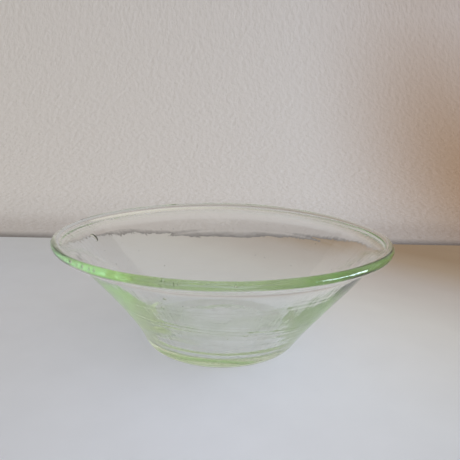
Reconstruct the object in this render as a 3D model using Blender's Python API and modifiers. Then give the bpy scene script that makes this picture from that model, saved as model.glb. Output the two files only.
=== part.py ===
"""Hand-blown glass bowl: wide and flared, of pale green glass, with a rolled rim and a thick base.

Units are metres and +Z is up. The origin is on the table, in the middle of the ring that the bowl rests on.
The glass is one fused body. It is modelled as the portions that the glassmaker works one after another:
the thick base, the blown wall, the rim rolled outwards at the fire, and the mark that the pontil leaves.
"""

import math

import bmesh
import bpy
from mathutils import Vector
from mathutils.geometry import interpolate_bezier

MM = 0.001

# Rim: a round bead at the end of a lip that flares outwards.
RIM_RADIUS = 120 * MM
BEAD_RADIUS = 2.75 * MM
BEAD_HEIGHT = 79.9 * MM
BEAD_START = math.radians(-105)  # where the lip's underside runs into the bead
BEAD_END = math.radians(115)  # where the bead runs into the lip's inner face
LIP_END_SLOPE = math.radians(20)

# Wall: a cone with a slight trumpet flare, thinner towards the lip. The slopes are measured from the table.
WALL_FOOT_RADIUS = 62.6 * MM
WALL_FOOT_HEIGHT = 12.0 * MM
WALL_FOOT_SLOPE = math.radians(58)
WALL_FOOT_THICKNESS = 5.6 * MM
WALL_TOP_RADIUS = 105.6 * MM
WALL_TOP_HEIGHT = 69.0 * MM
WALL_TOP_SLOPE = math.radians(53)
WALL_TOP_THICKNESS = 3.2 * MM

# Base: a flat ring to rest on, a round heel outside it, and a shallow kick inside it.
FLOOR_HEIGHT = 9.0 * MM
FLOOR_RADIUS = 42.0 * MM
HEEL_RADIUS = 9.8 * MM
HEEL_SLOPE = math.radians(62)  # where the heel runs into the wall
RING_OUTER_RADIUS = 50.0 * MM
RING_INNER_RADIUS = 38.0 * MM
KICK_HEIGHT = 3.6 * MM
KICK_FLAT_RADIUS = 16.0 * MM

# Pontil mark: the low scar of glass where the rod was broken off, clear of the table.
MARK_RADIUS = 13.0 * MM
MARK_THICKNESS = 1.6 * MM
MARK_EDGE = 0.5 * MM

# What the hand left: the wall sways towards +X, and the rim sits off the middle and waves up and down.
WALL_SWAY = 2.6 * MM
RIM_SHIFT = 0.9 * MM
WAVE_TWO = 0.42 * MM
WAVE_TWO_AT = math.radians(-79)
WAVE_THREE = 0.32 * MM
WAVE_THREE_AT = math.radians(-37)

JOINT_GAP = 0.3 * MM
TURN_STEPS = 72
WALL_POINTS = 10
LIP_POINTS = 5
BEAD_POINTS = 9
HEEL_POINTS = 5


def direction(angle):
    """Unit vector in the profile's plane, its angle counted from +X towards +Z."""
    return Vector((math.cos(angle), 0.0, math.sin(angle)))


def point(radius, height):
    return Vector((radius, 0.0, height))


def sweep(start, start_angle, end, end_angle, count):
    """Smooth curve that leaves start and reaches end along the two angles."""
    handle = (end - start).length / 3
    near = start + direction(start_angle) * handle
    far = end - direction(end_angle) * handle
    return interpolate_bezier(start, near, far, end, count)


def arc(centre, radius, start_angle, end_angle, count):
    step = (end_angle - start_angle) / (count - 1)
    return [centre + direction(start_angle + i * step) * radius for i in range(count)]


def across(outer, slope, thickness):
    """The point of the inner face that lies square across the glass from an outer one."""
    return outer + direction(slope + math.pi / 2) * thickness


WALL_FOOT_OUT = point(WALL_FOOT_RADIUS, WALL_FOOT_HEIGHT)
WALL_FOOT_IN = across(WALL_FOOT_OUT, WALL_FOOT_SLOPE, WALL_FOOT_THICKNESS)
WALL_TOP_OUT = point(WALL_TOP_RADIUS, WALL_TOP_HEIGHT)
WALL_TOP_IN = across(WALL_TOP_OUT, WALL_TOP_SLOPE, WALL_TOP_THICKNESS)


def wall_profile():
    """Down the outer face of the wall and up its inner face."""
    down = WALL_TOP_SLOPE + math.pi, WALL_FOOT_SLOPE + math.pi
    outer = sweep(WALL_TOP_OUT, down[0], WALL_FOOT_OUT, down[1], WALL_POINTS)
    inner = sweep(WALL_FOOT_IN, WALL_FOOT_SLOPE, WALL_TOP_IN, WALL_TOP_SLOPE, WALL_POINTS)
    return outer + inner


def rim_profile():
    """Round the bead from the top, in along the lip's underside, and out along its inner face."""
    clear = direction(WALL_TOP_SLOPE) * JOINT_GAP
    outer_end = WALL_TOP_OUT + clear
    inner_end = WALL_TOP_IN + clear
    centre = point(RIM_RADIUS - BEAD_RADIUS, BEAD_HEIGHT)
    bead = arc(centre, BEAD_RADIUS, BEAD_END, BEAD_START, BEAD_POINTS)
    under = sweep(bead[-1], LIP_END_SLOPE + math.pi, outer_end, WALL_TOP_SLOPE + math.pi, LIP_POINTS)
    inside = sweep(inner_end, WALL_TOP_SLOPE, bead[0], BEAD_END - math.pi / 2, LIP_POINTS)
    return bead + under[1:] + inside[:-1]


def base_profile():
    """From the axis out over the floor, down the heel and back in under the kick."""
    clear = direction(WALL_FOOT_SLOPE) * -JOINT_GAP
    floor_edge = point(FLOOR_RADIUS, FLOOR_HEIGHT)
    corner = sweep(floor_edge, 0.0, WALL_FOOT_IN + clear, WALL_FOOT_SLOPE, HEEL_POINTS)
    heel_centre = point(RING_OUTER_RADIUS, HEEL_RADIUS)
    heel = arc(heel_centre, HEEL_RADIUS, HEEL_SLOPE - math.pi / 2, -math.pi / 2, HEEL_POINTS)
    ring_inside = point(RING_INNER_RADIUS, 0.0)
    kick = sweep(ring_inside, math.pi, point(KICK_FLAT_RADIUS, KICK_HEIGHT), math.pi, HEEL_POINTS)
    upper = [point(0.0, FLOOR_HEIGHT)] + corner + [WALL_FOOT_OUT + clear]
    return upper + heel + kick + [point(0.0, KICK_HEIGHT)]


def mark_profile():
    """Low disc with softened edges, just clear of the kick above it."""
    top = KICK_HEIGHT - JOINT_GAP
    low = top - MARK_THICKNESS
    return [
        point(0.0, top),
        point(MARK_RADIUS - MARK_EDGE, top),
        point(MARK_RADIUS, top - MARK_EDGE),
        point(MARK_RADIUS, low + MARK_EDGE),
        point(MARK_RADIUS - MARK_EDGE, low),
        point(0.0, low),
    ]


def glass(name, colour):
    """Clear green glass, its colour as linear red, green and blue."""
    material = bpy.data.materials.new(name)
    material.use_nodes = True
    material.diffuse_color = (*colour, 0.35)
    shader = material.node_tree.nodes["Principled BSDF"]
    shader.inputs["Base Color"].default_value = (*colour, 1.0)
    shader.inputs["Metallic"].default_value = 0.0
    shader.inputs["Roughness"].default_value = 0.03
    shader.inputs["IOR"].default_value = 1.52
    shader.inputs["Transmission Weight"].default_value = 1.0
    return material


def turned(name, profile, closed, material, collection):
    """Solid turned about +Z with a Screw modifier, then kept as a plain mesh."""
    sketch = bpy.data.meshes.new(name + "_profile")
    outline = bmesh.new()
    verts = [outline.verts.new(p) for p in profile]
    ends = verts[1:] + verts[:1] if closed else verts[1:]
    for start, end in zip(verts, ends):
        outline.edges.new((start, end))
    outline.to_mesh(sketch)
    outline.free()
    obj = bpy.data.objects.new(name, sketch)
    collection.objects.link(obj)
    screw = obj.modifiers.new("turn", "SCREW")
    screw.axis = "Z"
    screw.steps = TURN_STEPS
    screw.render_steps = TURN_STEPS
    screw.use_merge_vertices = True
    screw.merge_threshold = 1e-5
    bpy.context.view_layer.update()
    solid = bpy.data.meshes.new_from_object(obj.evaluated_get(bpy.context.evaluated_depsgraph_get()))
    obj.modifiers.clear()
    obj.data = solid
    solid.name = name
    bpy.data.meshes.remove(sketch)
    solid.materials.clear()
    solid.materials.append(material)
    return obj


def shape_by_hand(mesh):
    """Push the turned glass out of true. Nothing moves at the table, and the base keeps its level faces."""
    for vertex in mesh.vertices:
        x, y, z = vertex.co
        turn = math.atan2(y, x)
        height = z / BEAD_HEIGHT
        waviness = max((z - WALL_FOOT_HEIGHT) / (BEAD_HEIGHT - WALL_FOOT_HEIGHT), 0.0) ** 2
        lift = WAVE_TWO * math.cos(2 * (turn - WAVE_TWO_AT))
        lift += WAVE_THREE * math.cos(3 * (turn - WAVE_THREE_AT))
        vertex.co.x = x + RIM_SHIFT * height + WALL_SWAY * 4 * height * (1 - height)
        vertex.co.z = z + lift * waviness


def smooth(mesh):
    mesh.shade_smooth()
    mesh.set_sharp_from_angle(angle=math.radians(50))


def build_bowl():
    bowl = bpy.data.collections.new("glass_bowl")
    bpy.context.scene.collection.children.link(bowl)
    pieces = [
        turned("thick_base", base_profile(), False, glass("base_glass", (0.50, 0.58, 0.36)), bowl),
        turned("bowl_wall", wall_profile(), True, glass("wall_glass", (0.66, 0.74, 0.55)), bowl),
        turned("rolled_rim", rim_profile(), True, glass("rim_glass", (0.54, 0.66, 0.42)), bowl),
        turned("pontil_mark", mark_profile(), False, glass("mark_glass", (0.58, 0.66, 0.48)), bowl),
    ]
    for piece in pieces:
        shape_by_hand(piece.data)
        smooth(piece.data)


for old in list(bpy.data.objects):
    bpy.data.objects.remove(old, do_unlink=True)
build_bowl()
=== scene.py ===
"""Studio scene of a hand-blown glass bowl: one skin of clear green glass with bubbles and cords."""

import math
import random

import bmesh
import bpy
from bpy.props import FloatProperty, IntProperty, PointerProperty, StringProperty
from mathutils import Matrix, Quaternion, Vector, noise
from mathutils.geometry import interpolate_bezier


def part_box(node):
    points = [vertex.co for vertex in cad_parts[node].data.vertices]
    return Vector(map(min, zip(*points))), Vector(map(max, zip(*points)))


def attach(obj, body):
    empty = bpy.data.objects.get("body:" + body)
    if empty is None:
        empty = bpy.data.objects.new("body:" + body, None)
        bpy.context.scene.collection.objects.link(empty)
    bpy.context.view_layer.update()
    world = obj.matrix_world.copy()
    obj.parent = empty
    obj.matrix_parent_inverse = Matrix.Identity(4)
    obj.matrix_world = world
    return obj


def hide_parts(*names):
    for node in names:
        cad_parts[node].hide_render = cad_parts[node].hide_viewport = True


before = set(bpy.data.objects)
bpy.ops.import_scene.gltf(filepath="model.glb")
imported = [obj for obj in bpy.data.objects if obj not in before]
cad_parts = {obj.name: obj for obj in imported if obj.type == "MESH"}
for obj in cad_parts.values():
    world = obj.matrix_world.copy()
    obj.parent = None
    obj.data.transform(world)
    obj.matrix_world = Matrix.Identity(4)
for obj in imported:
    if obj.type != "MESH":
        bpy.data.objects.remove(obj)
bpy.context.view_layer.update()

bl_info = {
    "name": "Hand-blown glass bowl",
    "version": (1, 0, 0),
    "blender": (4, 5, 0),
    "location": "3D View > Sidebar > Glass Bowl",
    "description": "Blows a flared glass bowl with a rolled rim and sets it on a pale studio table",
    "category": "Object",
}

MM = 0.001
RIM_LOW, RIM_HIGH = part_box("rolled_rim")


# ---------------------------------------------------------------- settings


def length(name, description, default):
    """A length in metres."""
    return FloatProperty(
        name=name, description=description, default=default, unit="LENGTH", precision=4
    )


def angle(name, description, degrees):
    return FloatProperty(
        name=name, description=description, default=math.radians(degrees), unit="ROTATION"
    )


def power(name, description, watts):
    return FloatProperty(name=name, description=description, default=watts, min=0.0, unit="POWER")


def share(name, description, default):
    """A part of the whole, from 0 to 1."""
    return FloatProperty(
        name=name, description=description, default=default, min=0.0, max=1.0, subtype="FACTOR"
    )


def amount(name, description, default, **limits):
    return FloatProperty(name=name, description=description, default=default, **limits)


def count(name, description, default, least):
    return IntProperty(name=name, description=description, default=default, min=least)


def hex_colour(name, description, default):
    """A colour as six sRGB hex digits."""
    return StringProperty(name=name, description=description, default=default, maxlen=7)


class GlassBowlShape(bpy.types.PropertyGroup):
    """Sizes of the bowl's section, which is turned about the middle of its base."""

    rim_radius: length(
        "Rim radius", "Middle of the bowl to the outside of the rim", (RIM_HIGH.y - RIM_LOW.y) / 2
    )
    bead_radius: length("Bead radius", "Half the thickness of the rolled rim", 2.95 * MM)
    bead_height: length("Bead height", "Table to the middle of the rolled rim", 79.8 * MM)
    lip_end_slope: angle(
        "Lip end slope", "Slope of the lip's underside where it meets the bead", 22
    )
    wall_top_radius: length("Wall top radius", "Outer face where the lip begins", 105.6 * MM)
    wall_top_height: length("Wall top height", "Table to where the lip begins", 69.0 * MM)
    wall_top_slope: angle("Wall top slope", "Slope of the wall where the lip begins", 53)
    wall_top_thickness: length("Wall top thickness", "Glass where the lip begins", 3.2 * MM)
    wall_foot_radius: length(
        "Wall foot radius", "Outer face where the wall leaves the base", 62.6 * MM
    )
    wall_foot_height: length(
        "Wall foot height", "Table to where the wall leaves the base", 12.0 * MM
    )
    wall_foot_slope: angle("Wall foot slope", "Slope of the wall where it leaves the base", 58)
    wall_foot_thickness: length(
        "Wall foot thickness", "Glass where the wall leaves the base", 5.6 * MM
    )
    heel_radius: length("Heel radius", "Rounding between the wall and the resting ring", 9.8 * MM)
    heel_slope: angle("Heel slope", "Slope of the heel where it meets the wall", 62)
    ring_outer_radius: length(
        "Ring outer radius", "Outside of the flat ring that the bowl rests on", 50.0 * MM
    )
    ring_inner_radius: length(
        "Ring inner radius", "Inside of the flat ring that the bowl rests on", 38.0 * MM
    )
    kick_height: length("Kick height", "How far the middle of the underside is pushed up", 1.3 * MM)
    kick_flat_radius: length("Kick flat radius", "Flat part of the kick", 14.5 * MM)
    scar_radius: length("Scar radius", "Patch of glass left by the pontil", 12.0 * MM)
    scar_drop: length("Scar drop", "How far the scar stands below the kick", 0.3 * MM)
    corner_height: length(
        "Corner height", "Table to where the inner wall starts to round into the floor", 18.5 * MM
    )
    floor_height: length("Floor height", "Table to the inner floor", 9.0 * MM)
    floor_radius: length("Floor radius", "Flat part of the inner floor", 42.0 * MM)
    turn_steps: count("Turn steps", "Faces round the bowl", 264, 48)


class GlassBowlHand(bpy.types.PropertyGroup):
    """What the hand left: sway, waves, uneven glass, cords and bubbles."""

    wall_sway: length("Wall sway", "Sideways lean of the middle of the wall", 2.6 * MM)
    rim_shift: length("Rim shift", "How far the rim sits off the middle", 0.9 * MM)
    wave_two: length("Two-fold wave", "Rise and fall of the rim, twice round", 0.42 * MM)
    wave_two_at: angle("Two-fold wave at", "Where the two-fold wave is highest", -79)
    wave_three: length("Three-fold wave", "Rise and fall of the rim, three times round", 0.32 * MM)
    wave_three_at: angle("Three-fold wave at", "Where the three-fold wave is highest", -37)
    ream: length("Ream", "Unevenness of the glass thickness", 0.16 * MM)
    ream_size: length("Ream size", "Width of one hollow of the ream", 26 * MM)
    ripple: length("Ripple", "Fine unevenness on top of the ream", 0.045 * MM)
    ripple_size: length("Ripple size", "Width of one ripple", 9 * MM)
    cord: length("Cord", "Height of the cords that run round the wall", 0.1 * MM)
    cord_width: length("Cord width", "Half the width of a cord", 0.9 * MM)
    seeds: count("Seeds", "Number of small bubbles scattered in the glass", 90, 0)


class GlassBowlGlass(bpy.types.PropertyGroup):
    """The glass itself."""

    tint: hex_colour("Tint", "Colour that deep glass turns daylight to", "#C8F48E")
    density: amount("Density", "Strength of the tint, per metre of glass", 4.2, min=0.0)
    ior: amount("IOR", "Refraction of soda-lime glass", 1.52, min=1.0)
    polish: share("Polish", "Roughness of the fire-polished skin", 0.015)


class GlassBowlStage(bpy.types.PropertyGroup):
    """Table, backdrop, light and camera."""

    table_colour: hex_colour("Table colour", "Pale painted table", "#E6EAF2")
    # Colour of the painted warm shade in the far right-hand corner of the table.
    table_far_shade: hex_colour("Table far colour", "The yellowed corner of the table", "#B49A7C")
    backdrop_colour: hex_colour("Backdrop colour", "Pale plaster", "#F8F5F3")
    # Colour of the painted warm shade over the backdrop's right-hand foot.
    backdrop_warm_shade: hex_colour(
        "Backdrop stain", "Stain over the backdrop's right-hand foot", "#C59D70"
    )
    backdrop_distance: length(
        "Backdrop distance", "Middle of the bowl to the foot of the backdrop", 0.297
    )
    camera_distance: length(
        "Camera distance", "Middle of the bowl to the camera, along the table", 0.3325
    )
    camera_height: length("Camera height", "Table to the camera", 0.1573)
    camera_pitch: angle("Camera pitch", "How far the camera looks down", 12.66)
    camera_yaw: angle("Camera yaw", "How far the camera looks to the right", 0.95)
    camera_roll: angle("Camera roll", "How far the camera leans to the left", 1.32)
    lens: amount("Lens", "Focal length, on a sensor 36 mm wide", 36.0, min=1.0, unit="CAMERA")
    window_power: power("Window", "Soft light from the window on the room", 4.4)
    window_low_power: power("Low window", "Low part of the window, seen through the glass", 1.5)
    window_gleam_power: power("Gleam", "Light that only the skin of the glass mirrors", 7.0)
    fill_power: power("Fill", "Shadowless light on the table round the bowl", 0.23)
    room_light: amount("Room light", "Strength of the light from the room", 0.55, min=0.0)
    room_shade: share("Room shade", "How much darker the side away from the window is", 0.62)


# ---------------------------------------------------------------- helpers


def linear_colour(hex_digits):
    """sRGB hex digits to linear red, green, blue and alpha."""
    digits = hex_digits.lstrip("#")
    channels = [int(digits[i : i + 2], 16) / 255 for i in (0, 2, 4)]
    return (*(c / 12.92 if c <= 0.04045 else ((c + 0.055) / 1.055) ** 2.4 for c in channels), 1.0)


def set_inputs(tree, node, inputs):
    """Links a node's inputs from sockets, or gives them plain values."""
    for name, value in inputs.items():
        if isinstance(value, bpy.types.NodeSocket):
            tree.links.new(value, node.inputs[name])
        else:
            node.inputs[name].default_value = value


def add_node(tree, kind, inputs=None, **settings):
    """A node with its settings and its inputs."""
    node = tree.nodes.new(kind)
    for key, value in settings.items():
        setattr(node, key, value)
    set_inputs(tree, node, inputs or {})
    return node


def set_stops(ramp, stops):
    """Gives a colour ramp its stops: place along it, sRGB hex colour."""
    while len(ramp.elements) < len(stops):
        ramp.elements.new(1.0)
    for element, (place, colour) in zip(ramp.elements, stops):
        element.position = place
        element.color = linear_colour(colour)


def direction(slope):
    """Unit vector in the section's plane, its angle counted from the table's."""
    return Vector((math.cos(slope), 0.0, math.sin(slope)))


def point(radius, height):
    return Vector((radius, 0.0, height))


def sweep(start, start_slope, end, end_slope, points):
    """Smooth curve that leaves start and reaches end along the two slopes."""
    handle = (end - start).length / 3
    near = start + direction(start_slope) * handle
    far = end - direction(end_slope) * handle
    return interpolate_bezier(start, near, far, end, points)


def arc(centre, radius, start, end, points):
    step = (end - start) / (points - 1)
    return [centre + direction(start + i * step) * radius for i in range(points)]


def straight(start, end, points):
    return [start.lerp(end, i / (points - 1)) for i in range(points)]


def smooth_share(value, low, high):
    """0 below low, 1 above high, and an even curve between them."""
    part = min(max((value - low) / (high - low), 0.0), 1.0)
    return part * part * (3 - 2 * part)


# ---------------------------------------------------------------- the bowl


class Section:
    """The bowl's section as one line, from under the axis out round the rim to above it."""

    BEAD_START = math.radians(-68)  # where the lip's underside runs into the bead
    BEAD_END = math.radians(135)  # where the bead runs into the lip's inner face
    SCAR_FADE_IN = 4 * MM  # the scar's edge starts this far inside its radius
    SCAR_FADE_OUT = 2 * MM  # and ends this far outside it

    # Points along each stretch, closest where the glass bends the view most.
    SCAR_POINTS = 12
    SCAR_EDGE_POINTS = 8
    KICK_POINTS = 16
    RING_POINTS = 7
    HEEL_POINTS = 14
    ABOVE_HEEL_POINTS = 8
    OUTER_WALL_POINTS = 92
    LIP_POINTS = 18
    BEAD_POINTS = 34
    INNER_WALL_POINTS = 66
    CORNER_POINTS = 20
    FLOOR_POINTS = 18
    PLACES_UP_WALL = 64

    def __init__(self, shape):
        self.shape = shape
        self.foot_out = point(shape.wall_foot_radius, shape.wall_foot_height)
        across_foot = direction(shape.wall_foot_slope + math.pi / 2)
        self.foot_in = self.foot_out + across_foot * shape.wall_foot_thickness
        self.top_out = point(shape.wall_top_radius, shape.wall_top_height)
        across_top = direction(shape.wall_top_slope + math.pi / 2)
        self.top_in = self.top_out + across_top * shape.wall_top_thickness
        self.bead_centre = point(shape.rim_radius - shape.bead_radius, shape.bead_height)

    def underside(self):
        shape = self.shape
        scar_height = shape.kick_height - shape.scar_drop
        scar_end = point(shape.scar_radius - self.SCAR_FADE_IN, scar_height)
        scar = straight(point(0.0, scar_height), scar_end, self.SCAR_POINTS)
        kick_start = point(shape.scar_radius + self.SCAR_FADE_OUT, shape.kick_height)
        scar_edge = sweep(scar_end, 0.0, kick_start, 0.0, self.SCAR_EDGE_POINTS)
        flat_end = point(shape.kick_flat_radius, shape.kick_height)
        ring_start = point(shape.ring_inner_radius, 0.0)
        kick = sweep(flat_end, 0.0, ring_start, 0.0, self.KICK_POINTS)
        ring = straight(kick[-1], point(shape.ring_outer_radius, 0.0), self.RING_POINTS)
        return scar + scar_edge[1:] + kick + ring[1:]

    def outer_wall(self):
        shape = self.shape
        heel_centre = point(shape.ring_outer_radius, shape.heel_radius)
        heel_end = shape.heel_slope - math.pi / 2
        heel = arc(heel_centre, shape.heel_radius, -math.pi / 2, heel_end, self.HEEL_POINTS)
        above_heel = straight(heel[-1], self.foot_out, self.ABOVE_HEEL_POINTS)
        wall = sweep(
            self.foot_out,
            shape.wall_foot_slope,
            self.top_out,
            shape.wall_top_slope,
            self.OUTER_WALL_POINTS,
        )
        return heel[1:] + above_heel[1:] + wall[1:]

    def rim(self):
        shape = self.shape
        top_slope = shape.wall_top_slope
        bead = arc(
            self.bead_centre, shape.bead_radius, self.BEAD_START, self.BEAD_END, self.BEAD_POINTS
        )
        under = sweep(self.top_out, top_slope, bead[0], shape.lip_end_slope, self.LIP_POINTS)
        bead_end_slope = self.BEAD_END + math.pi / 2
        inside = sweep(bead[-1], bead_end_slope, self.top_in, top_slope + math.pi, self.LIP_POINTS)
        return under[1:-1] + bead + inside[1:]

    def inner_wall(self):
        shape = self.shape
        foot_slope = shape.wall_foot_slope + math.pi
        wall = sweep(
            self.top_in,
            shape.wall_top_slope + math.pi,
            self.foot_in,
            foot_slope,
            self.INNER_WALL_POINTS,
        )
        wall = [place for place in wall if place.z > shape.corner_height]
        floor_edge = point(shape.floor_radius, shape.floor_height)
        corner = sweep(wall[-1], foot_slope, floor_edge, math.pi, self.CORNER_POINTS)
        floor = straight(corner[-1], point(0.0, shape.floor_height), self.FLOOR_POINTS)
        return wall[1:] + corner[1:] + floor[1:]

    def line(self):
        return self.underside() + self.outer_wall() + self.rim() + self.inner_wall()

    def within_wall(self, height, depth):
        """Place in the wall: height 0 at its foot to 1 at its top, depth 0 outside to 1 inside."""
        slopes = self.shape.wall_foot_slope, self.shape.wall_top_slope
        places = self.PLACES_UP_WALL
        outer = sweep(self.foot_out, slopes[0], self.top_out, slopes[1], places)
        inner = sweep(self.foot_in, slopes[0], self.top_in, slopes[1], places)
        index = min(int(height * (places - 1)), places - 1)
        return outer[index].lerp(inner[index], depth)


def sort_faces(skin):
    """Puts the faces in the order of their vertices, because merging shuffles them on each run."""
    skin.verts.index_update()
    corners = {face: sorted(vertex.index for vertex in face.verts) for face in skin.faces}
    ranks = {face: rank for rank, face in enumerate(sorted(corners, key=corners.get))}
    skin.faces.sort(key=ranks.get)


def turned_skin(shape, section):
    """The section as a line of edges, spun full circle about the bowl's axis."""
    skin = bmesh.new()
    verts = [skin.verts.new(place) for place in section.line()]
    edges = [skin.edges.new(pair) for pair in zip(verts, verts[1:])]
    bmesh.ops.spin(
        skin,
        geom=verts + edges,
        cent=(0.0, 0.0, 0.0),
        axis=(0.0, 0.0, 1.0),
        dvec=(0.0, 0.0, 0.0),
        angle=math.tau,
        steps=shape.turn_steps,
        use_merge=True,
        use_duplicate=False,
    )
    bmesh.ops.remove_doubles(skin, verts=skin.verts, dist=1e-6)
    sort_faces(skin)
    bmesh.ops.recalc_face_normals(skin, faces=skin.faces)
    skin.normal_update()
    return skin


# Cords round the outer face: height at the middle, tilt, where the tilt is highest, strength.
CORDS = (
    (35.5 * MM, 7.0 * MM, math.radians(-150), 1.0),
    (32.6 * MM, 6.0 * MM, math.radians(-145), 0.85),
    (22.0 * MM, 2.5 * MM, math.radians(-120), 0.5),
    (58.0 * MM, 4.0 * MM, math.radians(30), 0.35),
)

# The glass is true up to the first height, so that it rests flat, and fully uneven from the second.
TRUE_TO, UNEVEN_FROM = 2 * MM, 8 * MM

# Where in the noise the ream and the ripple are taken from. The inner face takes twice the shift.
REAM_SHIFT = Vector((3.1, 7.7, 1.3))
RIPPLE_SHIFT = Vector((9.2, 0.4, 5.8))

# The torn glass of the scar: its height, its grain, and the width over which it fades.
TEAR, TEAR_GRAIN, TEAR_FADE = 0.06 * MM, 5 * MM, 4 * MM


def cord_height(hand, height, turn):
    total = 0.0
    for middle, tilt, highest, strength in CORDS:
        off = (height - middle - tilt * math.cos(turn - highest)) / hand.cord_width
        total += strength * math.exp(-off * off)
    return hand.cord * total


def unevenness(shape, hand, place, normal):
    """How far the glass stands out from the true turned form at a place."""
    turn = math.atan2(place.y, place.x)
    radius = math.hypot(place.x, place.y)
    above = smooth_share(place.z, TRUE_TO, UNEVEN_FROM)
    inner = smooth_share(normal.z, -0.2, 0.2)
    ream = hand.ream * noise.noise(place / hand.ream_size + REAM_SHIFT * (1 + inner))
    ripple = hand.ripple * noise.noise(place / hand.ripple_size + RIPPLE_SHIFT * (1 + inner))
    height = above * (ream + ripple) + (1 - inner) * above * cord_height(hand, place.z, turn)
    if radius < shape.scar_radius and normal.z < 0:
        torn = noise.fractal(place / TEAR_GRAIN, 0.8, 2.1, 4)
        height += TEAR * torn * smooth_share(shape.scar_radius - radius, 0.0, TEAR_FADE)
    return height


def uneven_skin(skin, shape, hand):
    """Moves each vertex along its normal, where the glass came out thicker or thinner."""
    moved = [v.normal * unevenness(shape, hand, v.co, v.normal) for v in skin.verts]
    for vertex, shift in zip(skin.verts, moved):
        vertex.co += shift


# Bubbles that stand out, in the wall: turn in degrees, height up the wall and depth in it as
# shares, and half sizes in millimetres round the bowl, up the wall and across it.
WALL_BUBBLES = (
    (170, 1.0, 0.5, (3.9, 3.5, 0.5)),
    (-109, 0.93, 0.6, (1.1, 0.8, 0.5)),
    (-111, 0.86, 0.4, (0.5, 0.7, 0.4)),
    (-112, 0.79, 0.5, (1.0, 1.4, 0.6)),
    (-115, 0.67, 0.5, (0.8, 1.1, 0.5)),
    (-118, 0.69, 0.4, (0.6, 0.7, 0.4)),
    (-109, 0.49, 0.5, (0.7, 0.5, 0.4)),
    (-112, 0.36, 0.5, (0.5, 0.6, 0.4)),
    (-81, 0.39, 0.5, (1.7, 0.8, 0.6)),
    (-64, 0.72, 0.5, (0.35, 3.2, 0.4)),
    (-62, 0.66, 0.4, (0.7, 0.9, 0.5)),
)

# Bubbles in the rolled rim: turn in degrees, half sizes in millimetres as above.
RIM_BUBBLES = (
    (-102, (0.25, 1.5, 0.8)),
    (-101, (0.2, 1.2, 0.5)),
    (-87, (0.6, 0.4, 0.4)),
    (-62, (0.3, 1.2, 0.6)),
    (-126, (0.9, 0.5, 0.5)),
    (-128, (0.5, 0.9, 0.4)),
    (-131, (1.2, 0.4, 0.4)),
    (-133.5, (0.5, 0.5, 0.5)),
    (-137, (1.6, 0.3, 0.3)),
    (7, (0.6, 0.6, 0.6)),
)

# How often a bubble's icosphere is subdivided, by its size.
BLISTER_DETAIL, BUBBLE_DETAIL, SEED_DETAIL = 4, 3, 2
BLISTER_FROM = 2 * MM
SEED_DRAW = 1887  # starts the random draws that scatter the seeds


def add_bubble(air, centre, turn, half_sizes, slope, detail):
    """One bubble. Its half sizes run round the bowl, up the wall and across it."""
    place = Matrix.Rotation(turn, 4, "Z") @ Matrix.Translation(centre)
    lean = Matrix.Rotation(-slope, 4, "Y")
    size = Matrix.Diagonal((half_sizes[1], half_sizes[0], half_sizes[2], 1.0))
    bmesh.ops.create_icosphere(air, subdivisions=detail, radius=1.0, matrix=place @ lean @ size)


def add_bubbles(skin, section, hand):
    """Adds all bubbles. Their faces point into the air in them, out of the glass."""
    air = bmesh.new()
    slope = section.shape.wall_top_slope
    for degrees, height, depth, half_sizes in WALL_BUBBLES:
        sizes = [half * MM for half in half_sizes]
        detail = BLISTER_DETAIL if sizes[0] > BLISTER_FROM else BUBBLE_DETAIL
        centre = section.within_wall(height, depth)
        add_bubble(air, centre, math.radians(degrees), sizes, slope, detail)
    for degrees, half_sizes in RIM_BUBBLES:
        sizes = [half * MM for half in half_sizes]
        centre = section.bead_centre
        add_bubble(air, centre, math.radians(degrees), sizes, slope, BUBBLE_DETAIL)
    draw = random.Random(SEED_DRAW)
    for _ in range(hand.seeds):
        half = MM * (0.12 + 0.3 * draw.random() ** 3)
        centre = section.within_wall(draw.random(), 0.3 + 0.4 * draw.random())
        turn = draw.uniform(-math.pi, math.pi)
        sizes = (half, half * draw.uniform(1, 2), half)
        add_bubble(air, centre, turn, sizes, slope, SEED_DETAIL)
    bmesh.ops.reverse_faces(air, faces=air.faces)
    trapped = bpy.data.meshes.new("trapped_air")
    air.to_mesh(trapped)
    air.free()
    skin.from_mesh(trapped)
    bpy.data.meshes.remove(trapped)


def pull_out_of_true(skin, shape, hand):
    """Sways the wall and waves the rim. Nothing moves at the table."""
    wall_height = shape.bead_height - shape.wall_foot_height
    for vertex in skin.verts:
        x, y, z = vertex.co
        turn = math.atan2(y, x)
        height = z / shape.bead_height
        above_base = max(z - shape.wall_foot_height, 0.0) / wall_height
        lift = hand.wave_two * math.cos(2 * (turn - hand.wave_two_at))
        lift += hand.wave_three * math.cos(3 * (turn - hand.wave_three_at))
        vertex.co.x = x + hand.rim_shift * height + hand.wall_sway * 4 * height * (1 - height)
        vertex.co.z = z + lift * above_base**2


# ---------------------------------------------------------------- materials

# A Mix node's colour sockets, which share their names with its number sockets.
MIX_A, MIX_B, MIX_RESULT = 6, 7, 2


def new_material(name):
    """A material with its node tree and its shader."""
    material = bpy.data.materials.new(name)
    material.use_nodes = True
    return material, material.node_tree, material.node_tree.nodes["Principled BSDF"]


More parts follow.
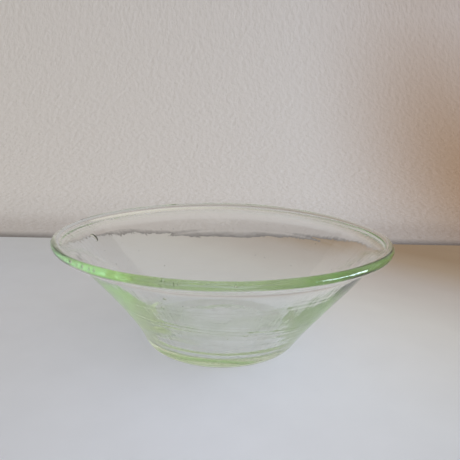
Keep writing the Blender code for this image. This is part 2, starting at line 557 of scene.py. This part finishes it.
def free_blown_soda_lime_glass(look):
    """Clear glass, green from the iron in its sand. Deep glass such as the rim and the base shows
    the colour, and the thin wall hardly does. The skin is fire-polished, with faint waves that
    bend what is seen through it."""
    material, tree, shader = new_material("free_blown_soda_lime_glass")
    place = add_node(tree, "ShaderNodeTexCoord").outputs["Object"]
    # Fine waves left by the fire, about 4 mm apart.
    grain = {"Vector": place, "Scale": 240.0, "Detail": 2.0}
    waves = add_node(tree, "ShaderNodeTexNoise", grain)
    relief = {"Height": waves.outputs["Fac"], "Strength": 0.03, "Distance": MM}
    bump = add_node(tree, "ShaderNodeBump", relief)
    # Streaks that run up the wall, about 3 mm apart where the wall is 90 mm from the axis, and
    # ten times as long.
    level = {0: place, 1: (1.0, 1.0, 0.0)}
    flat = add_node(tree, "ShaderNodeVectorMath", level, operation="MULTIPLY")
    turn = {0: flat.outputs["Vector"]}
    around = add_node(tree, "ShaderNodeVectorMath", turn, operation="NORMALIZE")
    height = {0: place, 1: (0.0, 0.0, 25.0)}
    upwards = add_node(tree, "ShaderNodeVectorMath", height, operation="MULTIPLY")
    comb = {0: around.outputs["Vector"], 1: (30.0, 30.0, 0.0), 2: upwards.outputs["Vector"]}
    combed = add_node(tree, "ShaderNodeVectorMath", comb, operation="MULTIPLY_ADD")
    grain = {"Vector": combed.outputs["Vector"], "Scale": 1.0, "Detail": 1.0}
    streaks = add_node(tree, "ShaderNodeTexNoise", grain)
    relief = {"Height": streaks.outputs["Fac"], "Strength": 0.04, "Distance": MM}
    streaked = add_node(tree, "ShaderNodeBump", {**relief, "Normal": bump.outputs["Normal"]})
    # Wear frosts the resting ring, up to half a millimetre. The rest is polished.
    axes = add_node(tree, "ShaderNodeSeparateXYZ", {"Vector": place})
    ring = {"Value": axes.outputs["Z"], "From Min": 0.1 * MM, "From Max": 0.5 * MM}
    wear = add_node(tree, "ShaderNodeMapRange", {**ring, "To Min": 0.3, "To Max": look.polish})
    skin = {
        "Base Color": (1.0, 1.0, 1.0, 1.0),
        "Roughness": wear.outputs["Result"],
        "IOR": look.ior,
        "Transmission Weight": 1.0,
        "Normal": streaked.outputs["Normal"],
    }
    set_inputs(tree, shader, skin)
    tint = {"Color": linear_colour(look.tint), "Density": look.density}
    body = add_node(tree, "ShaderNodeVolumeAbsorption", tint)
    set_inputs(tree, tree.nodes["Material Output"], {"Volume": body.outputs["Volume"]})
    return material


def sprayed_matt_lacquer(stage):
    """Lacquer sprayed on board: pale, matt and smooth, with a faint drift of tone. Painted warm
    shade darkens it towards the far right-hand corner."""
    material, tree, shader = new_material("sprayed_matt_lacquer")
    place = add_node(tree, "ShaderNodeTexCoord").outputs["Object"]
    # Painted warm shade, which grows from the near left towards the far right-hand corner.
    slant = {0: place, 1: (0.7, 0.7, 0.0)}
    along = add_node(tree, "ShaderNodeVectorMath", slant, operation="DOT_PRODUCT")
    reach = {"Value": along.outputs["Value"], "From Min": -0.1, "From Max": 0.35}
    towards_far_shade = add_node(tree, "ShaderNodeMapRange", reach)
    colour = add_node(tree, "ShaderNodeValToRGB", {"Fac": towards_far_shade.outputs["Result"]})
    steps = ((0.22, "#E1E4E8"), (0.53, "#DEDCD7"), (0.73, "#D1C8BF"), (0.89, "#C0AB92"))
    near, far = (0.0, stage.table_colour), (1.0, stage.table_far_shade)
    set_stops(colour.color_ramp, (near, *steps, far))
    # The drift of tone, about 33 mm across.
    grain = {"Vector": place, "Scale": 30.0, "Detail": 4.0}
    cloud = add_node(tree, "ShaderNodeTexNoise", grain)
    tones = {"Factor": 0.07, MIX_A: colour.outputs["Color"], MIX_B: cloud.outputs["Fac"]}
    tone = add_node(tree, "ShaderNodeMix", tones, data_type="RGBA", blend_type="MULTIPLY")
    paint = {"Base Color": tone.outputs[MIX_RESULT], "Roughness": 0.72, "Specular IOR Level": 0.3}
    set_inputs(tree, shader, paint)
    return material


def roller_painted_plaster(stage):
    """Roller-painted plaster: chalky and stippled, with painted warm shade low on the right and
    painted shade in the joint with the table."""
    material, tree, shader = new_material("roller_painted_plaster")
    place = add_node(tree, "ShaderNodeTexCoord").outputs["Object"]
    axes = add_node(tree, "ShaderNodeSeparateXYZ", {"Vector": place})
    # Painted shade in the joint with the table, darkest at the joint and fading out over 220 mm.
    joint = stage.backdrop_distance + 2 * MM
    away = {"Value": axes.outputs["Y"], "From Min": joint, "From Max": joint + 220 * MM}
    clear = add_node(tree, "ShaderNodeMapRange", away)
    joint_shade = add_node(tree, "ShaderNodeValToRGB", {"Fac": clear.outputs["Result"]})
    steps = ((0.0, "#96918F"), (0.17, "#D8D3D0"), (0.36, "#DDD8D5"), (0.6, "#F0EDEB"))
    set_stops(joint_shade.color_ramp, (*steps, (1.0, stage.backdrop_colour)))
    # Painted warm shade over it, strongest low down on the right.
    across = {"Value": axes.outputs["X"], "From Min": 0.15, "From Max": 0.54}
    right = add_node(tree, "ShaderNodeMapRange", across, interpolation_type="SMOOTHSTEP")
    upwards = {"Value": axes.outputs["Z"], "From Max": 0.45, "To Min": 1.0, "To Max": 0.33}
    low = add_node(tree, "ShaderNodeMapRange", upwards)
    both = {0: right.outputs["Result"], 1: low.outputs["Result"]}
    strength = add_node(tree, "ShaderNodeMath", both, operation="MULTIPLY")
    tones = {"Factor": strength.outputs["Value"], MIX_A: joint_shade.outputs["Color"]}
    tones[MIX_B] = linear_colour(stage.backdrop_warm_shade)
    warm_shade = add_node(tree, "ShaderNodeMix", tones, data_type="RGBA", blend_type="MULTIPLY")
    # The roller's stipple, about 10 mm apart so that it shows, drawn out upwards by the roller.
    stretch = {0: place, 1: (1.0, 1.0, 0.35)}
    drawn = add_node(tree, "ShaderNodeVectorMath", stretch, operation="MULTIPLY")
    grain = {"Vector": drawn.outputs["Vector"], "Scale": 110.0, "Detail": 4.0}
    stipple = add_node(tree, "ShaderNodeTexNoise", grain)
    relief = {"Height": stipple.outputs["Fac"], "Strength": 0.65, "Distance": 5 * MM}
    bump = add_node(tree, "ShaderNodeBump", relief)
    paint = {
        "Base Color": warm_shade.outputs[MIX_RESULT],
        "Roughness": 0.9,
        "Normal": bump.outputs["Normal"],
    }
    set_inputs(tree, shader, paint)
    return material


# ---------------------------------------------------------------- operators

# Light runs along inside a glass wall and is thrown back many times before it comes out.
BOUNCES = 48

TABLE_REACH = 4.0  # half the table's width and depth
TABLE_DROP = 0.05 * MM  # the table lies a hair below the bowl, so that light finds air there
TABLE_GAP = 1 * MM  # between the table and the foot of the backdrop

BACKDROP_WIDTH = 4.0
BACKDROP_SKIRT = 30 * MM  # how far the backdrop goes down behind the table
BACKDROP_DIP = 2 * MM  # how far the sweep starts below the table
BACKDROP_RADIUS = 0.7
BACKDROP_TURN = math.radians(80)
BACKDROP_STEPS = 24
BACKDROP_TOP = Vector((0.0, 0.05, 0.35))  # the steep last stretch above the sweep

ROOM_COLOUR = "#FFF8EE"
LIT_PLACE = Vector((0.0, 0.0, 0.05))  # the middle of the bowl, which all lamps face

# Lamps: place and size in metres, colour, and the rays that they are hidden from.
LAMPS = {
    # The window lights the room. The glass neither mirrors it nor shows it.
    "window": ((1.23, -0.12, 0.58), (1.5, 1.0), "#A8CCFF", ("glossy", "transmission")),
    # Its low part lights the glass and not the table.
    "window_low": ((1.12, -0.42, 0.2), (0.7, 0.35), "#A6C4FF", ("diffuse",)),
    # The fill makes up for the shadow of rendered glass, which is darker than that of real glass.
    "fill": ((0.04, -0.05, 0.24), (0.1, 0.1), "#F6F8FC", ("camera", "glossy", "transmission")),
    # The gleam is only mirrored.
    "window_gleam": ((1.1, -0.27, 0.25), (0.72, 0.26), "#E0EDFF", ("diffuse", "transmission")),
}
SHADOWLESS = "fill"


def keep_piece(name, mesh_source, material):
    """A bmesh as a finished, smooth-shaded object at the origin."""
    mesh = bpy.data.meshes.new(name)
    mesh_source.to_mesh(mesh)
    mesh_source.free()
    mesh.materials.append(material)
    mesh.shade_smooth()
    piece = bpy.data.objects.new(name, mesh)
    bpy.context.scene.collection.objects.link(piece)
    return piece


class GLASSBOWL_OT_blow(bpy.types.Operator):
    """Blow the bowl as one skin of glass, with its bubbles inside"""

    bl_idname = "glass_bowl.blow"
    bl_label = "Blow the Bowl"

    def execute(self, context):
        shape = context.scene.glass_bowl_shape
        hand = context.scene.glass_bowl_hand
        section = Section(shape)
        skin = turned_skin(shape, section)
        uneven_skin(skin, shape, hand)
        add_bubbles(skin, section, hand)
        pull_out_of_true(skin, shape, hand)
        glass = free_blown_soda_lime_glass(context.scene.glass_bowl_glass)
        bowl = keep_piece("blown_glass_bowl", skin, glass)
        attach(bowl, "root")
        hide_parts("thick_base", "bowl_wall", "rolled_rim", "pontil_mark")
        return {"FINISHED"}


class GLASSBOWL_OT_stage(bpy.types.Operator):
    """Set the table, the backdrop, the light and the camera"""

    bl_idname = "glass_bowl.stage"
    bl_label = "Set the Stage"

    def execute(self, context):
        scene = context.scene
        stage = scene.glass_bowl_stage
        self.add_table(stage)
        self.add_backdrop(stage)
        self.add_room(scene, stage)
        self.add_lamps(scene, stage)
        self.add_camera(scene, stage)
        scene.view_settings.view_transform = "Standard"
        scene.cycles.max_bounces = BOUNCES
        scene.cycles.glossy_bounces = BOUNCES
        scene.cycles.transmission_bounces = BOUNCES
        return {"FINISHED"}

    def add_table(self, stage):
        table = bmesh.new()
        bmesh.ops.create_grid(table, x_segments=1, y_segments=1, size=TABLE_REACH)
        middle = stage.backdrop_distance - TABLE_GAP - TABLE_REACH
        bmesh.ops.translate(table, verts=table.verts, vec=(0.0, middle, -TABLE_DROP))
        keep_piece("studio_floor", table, sprayed_matt_lacquer(stage))

    def add_backdrop(self, stage):
        """A low sweep that starts behind the table and rises far back, clear of every camera."""
        foot = Vector((0.0, stage.backdrop_distance, 0.0))
        start = foot - Vector((0.0, 0.0, BACKDROP_DIP))
        rise = [foot - Vector((0.0, 0.0, BACKDROP_SKIRT)), foot]
        for i in range(1, BACKDROP_STEPS + 1):
            turn = BACKDROP_TURN * i / BACKDROP_STEPS
            outwards = Vector((0.0, math.sin(turn), 1 - math.cos(turn)))
            rise.append(start + outwards * BACKDROP_RADIUS)
        rise.append(rise[-1] + BACKDROP_TOP)
        backdrop = bmesh.new()
        verts = [backdrop.verts.new(place) for place in rise]
        edges = [backdrop.edges.new(pair) for pair in zip(verts, verts[1:])]
        left = (-BACKDROP_WIDTH / 2, 0.0, 0.0)
        bmesh.ops.translate(backdrop, verts=backdrop.verts, vec=left)
        made = bmesh.ops.extrude_edge_only(backdrop, edges=edges)
        new = [item for item in made["geom"] if isinstance(item, bmesh.types.BMVert)]
        bmesh.ops.translate(backdrop, verts=new, vec=(BACKDROP_WIDTH, 0.0, 0.0))
        keep_piece("studio_backdrop", backdrop, roller_painted_plaster(stage))

    def add_room(self, scene, stage):
        """A warm room that darkens away from the window."""
        world = bpy.data.worlds.new("studio_room")
        world.use_nodes = True
        tree = world.node_tree
        towards = add_node(tree, "ShaderNodeTexCoord").outputs["Generated"]
        side = add_node(tree, "ShaderNodeSeparateXYZ", {"Vector": towards}).outputs["X"]
        dark = stage.room_light * (1 - stage.room_shade)
        bright = stage.room_light * (1 + stage.room_shade)
        reach = {"Value": side, "From Min": -1.0, "To Min": dark, "To Max": bright}
        light = add_node(tree, "ShaderNodeMapRange", reach).outputs["Result"]
        room = {"Color": linear_colour(ROOM_COLOUR), "Strength": light}
        set_inputs(tree, tree.nodes["Background"], room)
        scene.world = world

    def add_lamps(self, scene, stage):
        """Rectangles of light that face the bowl."""
        for name, (place, size, colour, hidden_from) in LAMPS.items():
            light = bpy.data.lights.new(name, "AREA")
            light.shape = "RECTANGLE"
            light.size, light.size_y = size
            light.energy = getattr(stage, name + "_power")
            light.color = linear_colour(colour)[:3]
            light.use_shadow = name != SHADOWLESS
            lamp = bpy.data.objects.new(name, light)
            lamp.location = place
            lamp.rotation_mode = "QUATERNION"
            towards = LIT_PLACE - lamp.location
            lamp.rotation_quaternion = towards.to_track_quat("-Z", "Y")
            for rays in hidden_from:
                setattr(lamp, "visible_" + rays, False)
            scene.collection.objects.link(lamp)

    def add_camera(self, scene, stage):
        lens = bpy.data.cameras.new("camera")
        lens.lens = stage.lens
        lens.sensor_width = 36.0
        camera = bpy.data.objects.new("camera", lens)
        camera.location = (0.0, -stage.camera_distance, stage.camera_height)
        pitch, yaw = stage.camera_pitch, stage.camera_yaw
        level = math.cos(pitch)
        ahead = Vector((math.sin(yaw) * level, math.cos(yaw) * level, -math.sin(pitch)))
        camera.rotation_mode = "QUATERNION"
        roll = Quaternion((0.0, 0.0, 1.0), stage.camera_roll)
        camera.rotation_quaternion = ahead.to_track_quat("-Z", "Y") @ roll
        scene.collection.objects.link(camera)
        scene.camera = camera


class GLASSBOWL_PT_panel(bpy.types.Panel):
    """Sizes, glass, stage and the buttons that make them"""

    bl_idname = "GLASSBOWL_PT_panel"
    bl_label = "Glass Bowl"
    bl_space_type = "VIEW_3D"
    bl_region_type = "UI"
    bl_category = "Glass Bowl"

    def draw(self, context):
        layout = self.layout
        for name in SETTINGS:
            settings = getattr(context.scene, name)
            box = layout.box()
            for key in settings.__annotations__:
                box.prop(settings, key)
        for operator in OPERATORS:
            layout.operator(operator.bl_idname)


SETTINGS = {
    "glass_bowl_shape": GlassBowlShape,
    "glass_bowl_hand": GlassBowlHand,
    "glass_bowl_glass": GlassBowlGlass,
    "glass_bowl_stage": GlassBowlStage,
}
OPERATORS = (GLASSBOWL_OT_blow, GLASSBOWL_OT_stage)


def register():
    for group in SETTINGS.values():
        bpy.utils.register_class(group)
    for operator in OPERATORS:
        bpy.utils.register_class(operator)
    bpy.utils.register_class(GLASSBOWL_PT_panel)
    for name, group in SETTINGS.items():
        setattr(bpy.types.Scene, name, PointerProperty(type=group))


def unregister():
    for name in SETTINGS:
        delattr(bpy.types.Scene, name)
    bpy.utils.unregister_class(GLASSBOWL_PT_panel)
    for operator in reversed(OPERATORS):
        bpy.utils.unregister_class(operator)
    for group in reversed(SETTINGS.values()):
        bpy.utils.unregister_class(group)


def main():
    register()
    bpy.ops.glass_bowl.blow()
    bpy.ops.glass_bowl.stage()


if __name__ == "__main__":
    main()
